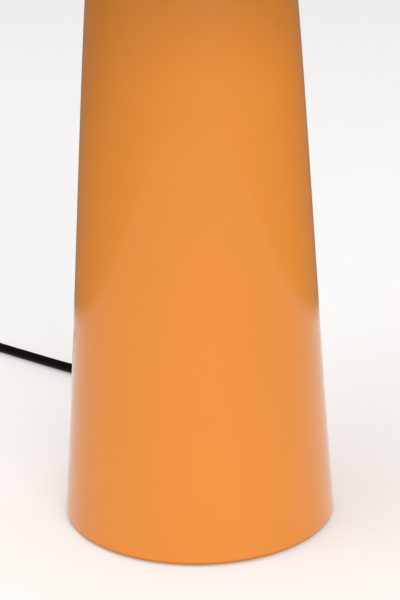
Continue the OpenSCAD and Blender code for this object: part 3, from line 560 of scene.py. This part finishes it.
skirt_z = np.linspace(328.5, 340.5, 73)
skirt_outline = np.vstack([
    [(17.9, 300.5), (19.9, 300.5), (19.9, 327.7), (19.3, 328.2)],
    np.column_stack([np.full_like(skirt_z, 19.3), skirt_z]),
    [(19.1, 341), (18.3, 341.5), (14.8, 341.5), (14.4, 341.1), (14.4, 339.5), (17.9, 339.5)],
])
skirt_swell = np.vstack([still(4), thread(skirt_z, 2, 0.6), still(6)])
make("holder_sleeve", "lamp", white_plastic,
     [turned(skirt_outline, 192, skirt_swell)], ["holder_skirt"])
socket_z = np.linspace(309.5, 331.3, 88)
socket_thread = thread(socket_z, bulb_pitch, bulb_depth)
socket_outline = np.vstack([
    np.column_stack([np.full_like(socket_z, 14.2), socket_z]),
    np.column_stack([np.full_like(socket_z, 13.7), socket_z[::-1]]),
])
make("socket_screw", "lamp", brass,
     [turned(socket_outline, 192, np.vstack([socket_thread, socket_thread[::-1]]))],
     ["holder_thread_shell"])
dress(white_plastic, "holder_cap")
dress(ceramic, "holder_insert")
dress(brass, "holder_contact", "holder_terminals")

# Bulb: a blown opal globe in a nickel-plated screw cap, with a black glass insulator and a
# soldered contact at its foot.
opal_glass = finish("opal_glass", (0.90, 0.89, 0.86), 0.09, spread=0.01, patch=25,
                    rough_spread=0.02, ior=1.5)
nickel = finish("nickel", (0.70, 0.68, 0.64), 0.2, spread=0.05, patch=200, rough_spread=0.06,
                metallic=1.0)
black_glass = finish("black_glass", (0.02, 0.018, 0.022), 0.12, spread=0.2, patch=200)
solder = finish("solder", (0.55, 0.55, 0.56), 0.3, spread=0.1, patch=400, grain=0.00003,
                grain_scale=900, metallic=1.0)
globe_z, globe_r, glass_t = 386.7, 30, 1
glass_flank = [(12.2, 337.3), (12.2, 352.3), (27.9, 364.2), (30, 386.7)]
rise, crown = np.linspace(0, 1, 40), np.linspace(0, np.pi / 2, 40)
arch = np.column_stack([np.cos(crown), np.sin(crown)])
glass_outline = np.vstack([
    (0, globe_z) + globe_r * arch[::-1], bezier(glass_flank, rise[-2::-1]),
    bezier(glass_flank, rise[:-1], glass_t), (0, globe_z) + (globe_r - glass_t) * arch,
])
glass_outline[[0, -1], 0] = 0
make("bulb_globe", "bulb", opal_glass, [turned(glass_outline, 128)], ["bulb_glass"])
cap_z = np.linspace(319.3, 335.6, 66)
cap_outline = np.vstack([
    [(4, 316.3), (10.7, 316.3), (11.2, 316.7), (12.4, 318.7)],
    np.column_stack([np.full_like(cap_z, 12.4), cap_z]),
    [(12.5, 336), (13.1, 336.9), (13.2, 337.4), (13.2, 340.1), (13, 340.3), (12.6, 340.3),
     (12.6, 336.4), (11.8, 335.6), (11.8, 319.3), (10.6, 316.9), (4, 316.9)],
])
cap_swell = np.vstack([still(4), thread(cap_z, bulb_pitch, bulb_depth), still(11)])
make("bulb_screw", "bulb", nickel, [turned(cap_outline, 192, cap_swell)], ["bulb_cap"])
make("bulb_insulation", "bulb", black_glass,
     [turned(rounded([(0, 313.3), (4.5, 313.3), (9, 316.3), (0, 316.3)], 0.4, closed=False), 64)],
     ["bulb_insulator"])
make("bulb_contact", "bulb_foot", solder,
     [turned([(0, 311.7), (2, 311.75), (3.4, 312.05), (4.2, 312.55), (4.5, 313.1), (4.5, 313.3),
              (0, 313.3)], 48)], ["bulb_tip"])

# Shade: one spun dome of the same sheet, orange outside and white enamel inside. Its rim is
# rolled inwards over a bead, and it rests on three sleeves of the gallery.
dome_r, dome_z, bead_r = 150, 300, 2
inner_r = dome_r - sheet
lean = math.asin(bead_r / dome_r)
outer = np.linspace(math.pi / 2, lean, 90)
roll_in = np.linspace(0, -1.5 * math.pi + 0.4, 22)[1:]
bead = np.column_stack([
    dome_r - bead_r + bead_r * np.cos(roll_in), dome_z + bead_r + bead_r * np.sin(roll_in)])
inner_start = math.asin((bead[-1, 1] - dome_z) / inner_r) + 0.012
inner = np.linspace(inner_start, math.pi / 2, 60)
shade_outline = np.vstack([
    np.column_stack([dome_r * np.cos(outer), dome_z + dome_r * np.sin(outer)]), bead,
    np.column_stack([inner_r * np.cos(inner), dome_z + inner_r * np.sin(inner)]),
])
shade_outline[[0, -1], 0] = 0
shade = make("shade", "shade", orange_lacquer, [turned(shade_outline, 256)],
             ["shade"])
white_enamel = lacquer("white_enamel", (0.88, 0.87, 0.84))
shade.data.materials.append(white_enamel)
faces = shade.data.polygons
centres, normals = np.empty((2, len(faces) * 3))
faces.foreach_get("center", centres)
faces.foreach_get("normal", normals)
from_middle = centres.reshape(-1, 3) - np.array([0, 0, dome_z / 1000])
inside = (from_middle * normals.reshape(-1, 3)).sum(1) < 0
faces.foreach_set("material_index", inside.astype(int))

# In-line switch: a matt black housing of two halves, parted above the lead and screwed together
# from below. Both ends narrow to ribbed noses that grip the lead.
black_plastic = finish("black_plastic", (0.01, 0.01, 0.0105), 0.5, spread=0.15, patch=120,
                       grain=0.00002, grain_scale=1500, grain_detail=3, specular_ior_level=0.25)
switch_x, switch_y, nose_z, screw_x = -208, 256, 8, (-21, 21)


def squared(t, n):
    """Two rows, the cosine and the sine of t with their sizes raised to 2 / n: points of a circle
    for an n of 2, and of a squarer form for more."""
    c, s = np.cos(t), np.sin(t)
    return np.sign(c) * abs(c) ** (2 / n), np.sign(s) * abs(s) ** (2 / n)


def eased(at, stations, values, reach=2):
    """Values between stations, as the mean of nine straight-line readings within a reach."""
    near = np.linspace(-reach, reach, 9)[:, None]
    return np.interp(at + near, stations, values).mean(0)


def drawn_in(at, end, radius):
    """How far a form is drawn in at places past the start of its rounded end."""
    share = np.clip((at - end + radius) / radius, 0, 1)
    return radius * (1 - np.sqrt(1 - share**2))


def housing(edge_z, parting_z, far_z, half, n):
    """Grid of one half of the housing, row by row along x: a rounded square of half widths, cut
    level at the parting, with its edge there taken off between two heights."""
    y, z = squared(np.linspace(0, np.pi, 37), n)
    rows = [np.column_stack([np.full(len(y) + 2, x), np.r_[w - 0.3, w * y, 0.3 - w],
                             np.r_[parting_z, edge_z + (top - edge_z) * z, parting_z]])
            for x, w, top in zip(switch_rows, half, far_z)]
    grid = np.array(rows)
    ends = np.repeat(grid[[0, -1]].mean(1, keepdims=True), grid.shape[1], 1)
    return moved(np.concatenate([ends[:1], grid, ends[1:]]) / 1000, switch_x, switch_y)


bend = np.linspace(0, np.pi / 2, 7)
switch_rows = np.concatenate([-28.8 - 1.2 * np.cos(bend), np.linspace(-28, 28, 57),
                              28.8 + 1.2 * np.sin(bend)])
past = drawn_in(abs(switch_rows), 30, 1.2)
switch_half = eased(abs(switch_rows), (-3, 14, 18, 30, 34), (13.5, 13.5, 12.5, 8, 6.5)) - past
switch_top = eased(abs(switch_rows), (-3, 15, 26, 30, 34), (17, 17, 15.7, 13, 10)) - past
nose_outline = [(0, 0), (5.4, 0), (5.4, 2.3), (4.6, 3.2), (4.6, 3.8), (4.1, 4.1), (4.1, 4.9),
                (4.4, 5.2), (4.4, 5.8), (3.9, 6.1), (3.9, 6.9), (4.1, 7.2), (4.1, 8.6),
                (3.8, 9), (0, 9)]
under = make("switch_under", "lamp", black_plastic,
             [housing(8.6, 8.9, past / 2, switch_half, 6)], ["switch_base"])
noses = make("switch_noses", "lamp", black_plastic,
             [lying(turned(nose_outline, 48), heading, (switch_x + side * 29, switch_y, nose_z))
              for heading, side in ((0, 1), (180, -1))])
upper = make("switch_upper", "lamp", black_plastic,
             [housing(9.4, 9.1, switch_top, switch_half, 3.5)], ["switch_cover"])
slot = rounded([(-11.5, -6), (11.5, -6), (11.5, 6), (-11.5, 6)], 0.8)
carve(upper, moved(stacked(slot, [(8.9, 0), (8.9, 1), (20, 1), (20, 0)]), switch_x, switch_y))
switch_screw = turned([(0, 0.6), (2.1, 0.6), (2.4, 0.9), (2.4, 2.2), (1.25, 2.2), (1.25, 10.6),
                       (0, 10.6)], 36)
screw_well = turned([(0, -1), (2.6, -1), (2.6, 2.2), (0, 2.2)], 36)
screws = make("switch_fixings", "lamp", zinc_steel,
              [moved(switch_screw, switch_x + x, switch_y) for x in screw_x], ["switch_screws"])
switch_recess = stacked(cross(1.4, 0.3), [(-1, 0), (-1, 1), (1.6, 0.6), (1.6, 0)])
for x in screw_x:
    carve(under, moved(screw_well, switch_x + x, switch_y))
    carve(screws, moved(switch_recess, switch_x + x, switch_y))
dress(brass, "switch_terminals")

# Rocker: a glossy black bar, dished along its top, that tips about a pin through its middle.
black_gloss = finish("black_gloss", (0.01, 0.01, 0.0105), 0.2, spread=0.15, patch=120)
rocker_axis_z, rocker_tilt = 11.5, math.radians(8)
rocker_side = rounded([(-9.4, -1.2), (-4, -2.2), (4, -2.2), (9.4, -1.2), (10.4, 4.9), (9.8, 5.9),
                       (5, 5.2), (0, 4.9), (-5, 5.2), (-9.8, 5.9), (-10.4, 4.9)], 0.9)
rocker_form = stacked(rocker_side, [(-5.7, 0), (-5.7, 0.93), (-5.55, 0.97), (-5.2, 1), (5.2, 1),
                                    (5.55, 0.97), (5.7, 0.93), (5.7, 0)])
x, z, y = np.moveaxis(rocker_form, -1, 0)
c, s = math.cos(rocker_tilt), math.sin(rocker_tilt)
rocker_form = moved(
    np.stack([x * c + z * s, y, z * c - x * s], -1), switch_x, switch_y, rocker_axis_z)
rocker = make("rocker_key", "rocker", black_gloss, [rocker_form], ["switch_rocker"])

# Plug: a flat two-pin body moulded in one with its ribbed nose and the collars of its pins. The
# pins are round, nickel-plated and rounded at their tips.
plug_at = (*end_points[0, :2], plug_height)
plug_heading, nose_start, body_start, plug_end, pin_apart = -45, 36, 50, 87, 9.3
collar_end, pin_end = plug_end + 10, plug_end + 19
rib_r, rib_at = 4.2 + 0.4 * np.arange(3), nose_start + 2 + 3.6 * np.arange(3)
rib_form = np.array([(0, 0), (-0.5, 0.5), (-0.5, 1.4), (0.1, 1.9)])
ribs = np.column_stack([(rib_r[:, None] + rib_form[:, 0]).ravel(),
                        (rib_at[:, None] + rib_form[:, 1]).ravel()])
nose = rounded(np.vstack([[(0, nose_start), (4, nose_start)], ribs, [(5.5, body_start)]]), 0.3,
               closed=False)
along = np.r_[np.linspace(body_start + 0.5, plug_end - 1, 60), plug_end - 1 + np.sin(bend[1:])]
blunt = drawn_in(along, plug_end, 1)
wide = eased(along, (50, 52, 57, 64, 70, 90), (5.5, 6.5, 7.2, 13.6, 17.5, 17.5), 1.5) - blunt
high = eased(along, (50, 52, 57, 64, 90), (5.5, 5.8, 6.7, 6.9, 6.9), 1.5) - blunt
square = np.interp(along, (50, 56, 68), (2, 2.4, 4.5))
stations = np.vstack([
    np.column_stack([nose[:, 0], nose[:, 0], np.full(len(nose), 2), nose[:, 1]]),
    np.column_stack([wide, high, square, along]), [(0, 0, 2, plug_end)],
])
across, upright = squared(np.arange(72) * np.pi / 36, stations[:, 2:3])
plug_form = np.stack([stations[:, :1] * across, stations[:, 1:2] * upright,
                      np.repeat(stations[:, 3:], 72, 1)], -1) / 1000
collar = turned([(0, plug_end - 1), (2.5, plug_end - 1), (2.5, plug_end), (1.9, plug_end + 0.5),
                 (1.9, collar_end), (0, collar_end)], 40)
pin = turned(rounded([
    (0, collar_end - 1), (1.6, collar_end - 1), (1.6, collar_end), (2, collar_end + 0.2),
    (2, pin_end), (0, pin_end)], 0.9, closed=False, steps=6), 40)
plug = make("plug_moulding", "lamp", black_plastic,
            [lying(form, plug_heading, plug_at) for form in
             (plug_form, moved(collar, pin_apart, 0), moved(collar, -pin_apart, 0))],
            ["plug_body"])
pins = make("plug_contacts", "lamp", nickel,
            [lying(moved(pin, side * pin_apart, 0), plug_heading, plug_at) for side in (-1, 1)],
            ["plug_pins"])
# The photographed lacquer mirrors nothing of the lead past the view, so what is put away there
# casts its shadow but isn't mirrored.
for piece in (spare_lead, under, noses, upper, rocker, screws, plug, pins):
    piece.visible_glossy = False

# Inside the foot the lead keeps its sheath up to the clamp. Its blue and brown cores go on, up the
# stem to the lampholder.
blue, brown = (0.02, 0.07, 0.35), (0.20, 0.09, 0.035)
core_pvc = finish("core_pvc", brown, 0.4, spread=0.05)
tree = core_pvc.node_tree
on_right = wired(tree, "Math", 0, {0: place(tree)[1], 1: 0}, operation="GREATER_THAN")
feed(tree, tree.nodes["Principled BSDF"],
     {"Base Color": blended(tree, on_right, (*blue, 1), (*brown, 1))})
dress(black_pvc, "inner_sheath")
dress(core_pvc, "inner_cores")

# Stage: pale paper that fades to the room's grey at the sides and far off. A broad soft light
# stands in front and a little to the right, and a weaker one high on the left. As photographed,
# the lacquer mirrors paper that ends a bit behind the lamp, and past it a darker, warmer room.
room_colour = (1, 0.995, 0.985, 1)
# Metres over which the paper fades: before and behind its middle, at the sides, and mirrored.
fade_middle, far_fade, side_fade, mirror_fade = 0.85, (2.05, 3.25), (0.4, 0.9), (0.62, 0.78)
floor_mesh = bpy.data.meshes.new("floor")
floor_mesh.from_pydata([(-4, -4, 0), (4, -4, 0), (4, 5, 0), (-4, 5, 0)], [], [(0, 1, 2, 3)])
floor = bpy.data.objects.new("floor", floor_mesh)
bpy.context.scene.collection.objects.link(floor)


def maths(tree, operation, *values):
    """Output of a maths node."""
    return wired(tree, "Math", 0, dict(enumerate(values)), operation=operation)


def shown(tree, least, most):
    """A strength: the least value for light, and the most for rays of the camera and for what
    glass shows of the background."""
    ray = tree.nodes.new("ShaderNodeLightPath").outputs
    seen = maths(tree, "MAXIMUM", ray["Is Camera Ray"], ray["Is Transmission Ray"])
    return ranged(tree, seen, (0, 1), (least, most))


def room_tone(tree, heading):
    """Colour that gloss mirrors of the room: pale in front and a warm dark tone behind, blended
    along the heading, which is the share of the way that leads back."""
    share = ranged(tree, heading, (-0.7, 0.3), (0, 1))
    return blended(tree, share, (0.62, 0.617, 0.61, 1), (0.34, 0.22, 0.14, 1))


def mixed(tree, share, one, other):
    """Output of a mix of two shaders, with a share of the other."""
    return wired(tree, "MixShader", 0, {0: share, 1: one, 2: other})


def surface(tree, output, plain, mirrored):
    """Shows a plain shader, but another one to what gloss mirrors."""
    ray = tree.nodes.new("ShaderNodeLightPath").outputs
    shader = mixed(tree, ray["Is Glossy Ray"], plain, mirrored)
    feed(tree, tree.nodes[output], {"Surface": shader})


floor_paper = bpy.data.materials.new("floor_paper")
floor_paper.use_nodes = True
floor_mesh.materials.append(floor_paper)
tree = floor_paper.node_tree
paper = tree.nodes["Principled BSDF"]
feed(tree, paper, {
    "Base Color": (0.845, 0.84, 0.835, 1), "Roughness": 0.9, "Specular IOR Level": 0.1,
    "Emission Color": (1, 1, 1, 1), "Emission Strength": shown(tree, 0, 0.24)})
distance = wired(tree, "Emission", 0, {"Color": room_colour, "Strength": shown(tree, 0.27, 0.62)})
point, x, y, z = place(tree)
off_side = maths(tree, "MULTIPLY_ADD", y, -0.1, maths(tree, "ABSOLUTE", x))
off_middle = maths(tree, "ABSOLUTE", maths(tree, "SUBTRACT", y, fade_middle))
fade = maths(tree, "MAXIMUM", ranged(tree, off_side, side_fade, (0, 1), "SMOOTHSTEP"),
             ranged(tree, off_middle, far_fade, (0, 1), "SMOOTHSTEP"))
# The mirrored paper ends where the distances from the lamp and behind it make 0.7 metres.
away = wired(tree, "VectorMath", "Value", {0: point}, operation="LENGTH")
past_edge = ranged(tree, maths(tree, "ADD", away, y), mirror_fade, (0, 1), "SMOOTHSTEP")
far_room = room_tone(tree, maths(tree, "DIVIDE", y, away))
mirrored = wired(
    tree, "Emission", 0, {"Color": blended(tree, past_edge, (0.911, 0.911, 0.92, 1), far_room)})
surface(tree, "Material Output", mixed(tree, fade, paper.outputs["BSDF"], distance), mirrored)
room = bpy.data.worlds.new("room")
room.use_nodes = True
bpy.context.scene.world = room
tree = room.node_tree
air = tree.nodes["Background"]
feed(tree, air, {"Color": room_colour, "Strength": shown(tree, 0.68, 0.62)})
walls = wired(tree, "Background", 0, {"Color": room_tone(tree, place(tree, "Generated")[2])})
surface(tree, "World Output", air.outputs[0], walls)


def softbox(name, at, towards, size, power):
    """A square soft light of a size in metres, from a place towards a point, of a power in
    watts."""
    data = bpy.data.lights.new(name, "AREA")
    data.size, data.energy = size, power
    light = bpy.data.objects.new(name, data)
    bpy.context.scene.collection.objects.link(light)
    turn = (Vector(towards) - Vector(at)).to_track_quat("-Z", "Y")
    light.matrix_world = Matrix.Translation(at) @ turn.to_matrix().to_4x4()


softbox("key", (0.8, -2.65, 1.3), (0, 0, 0.15), 1.65, 36)
softbox("fill", (-1.3, -0.6, 2.2), (0, 0, 0.1), 1.2, 10)

settings = bpy.context.scene.view_settings
settings.view_transform = "Standard"
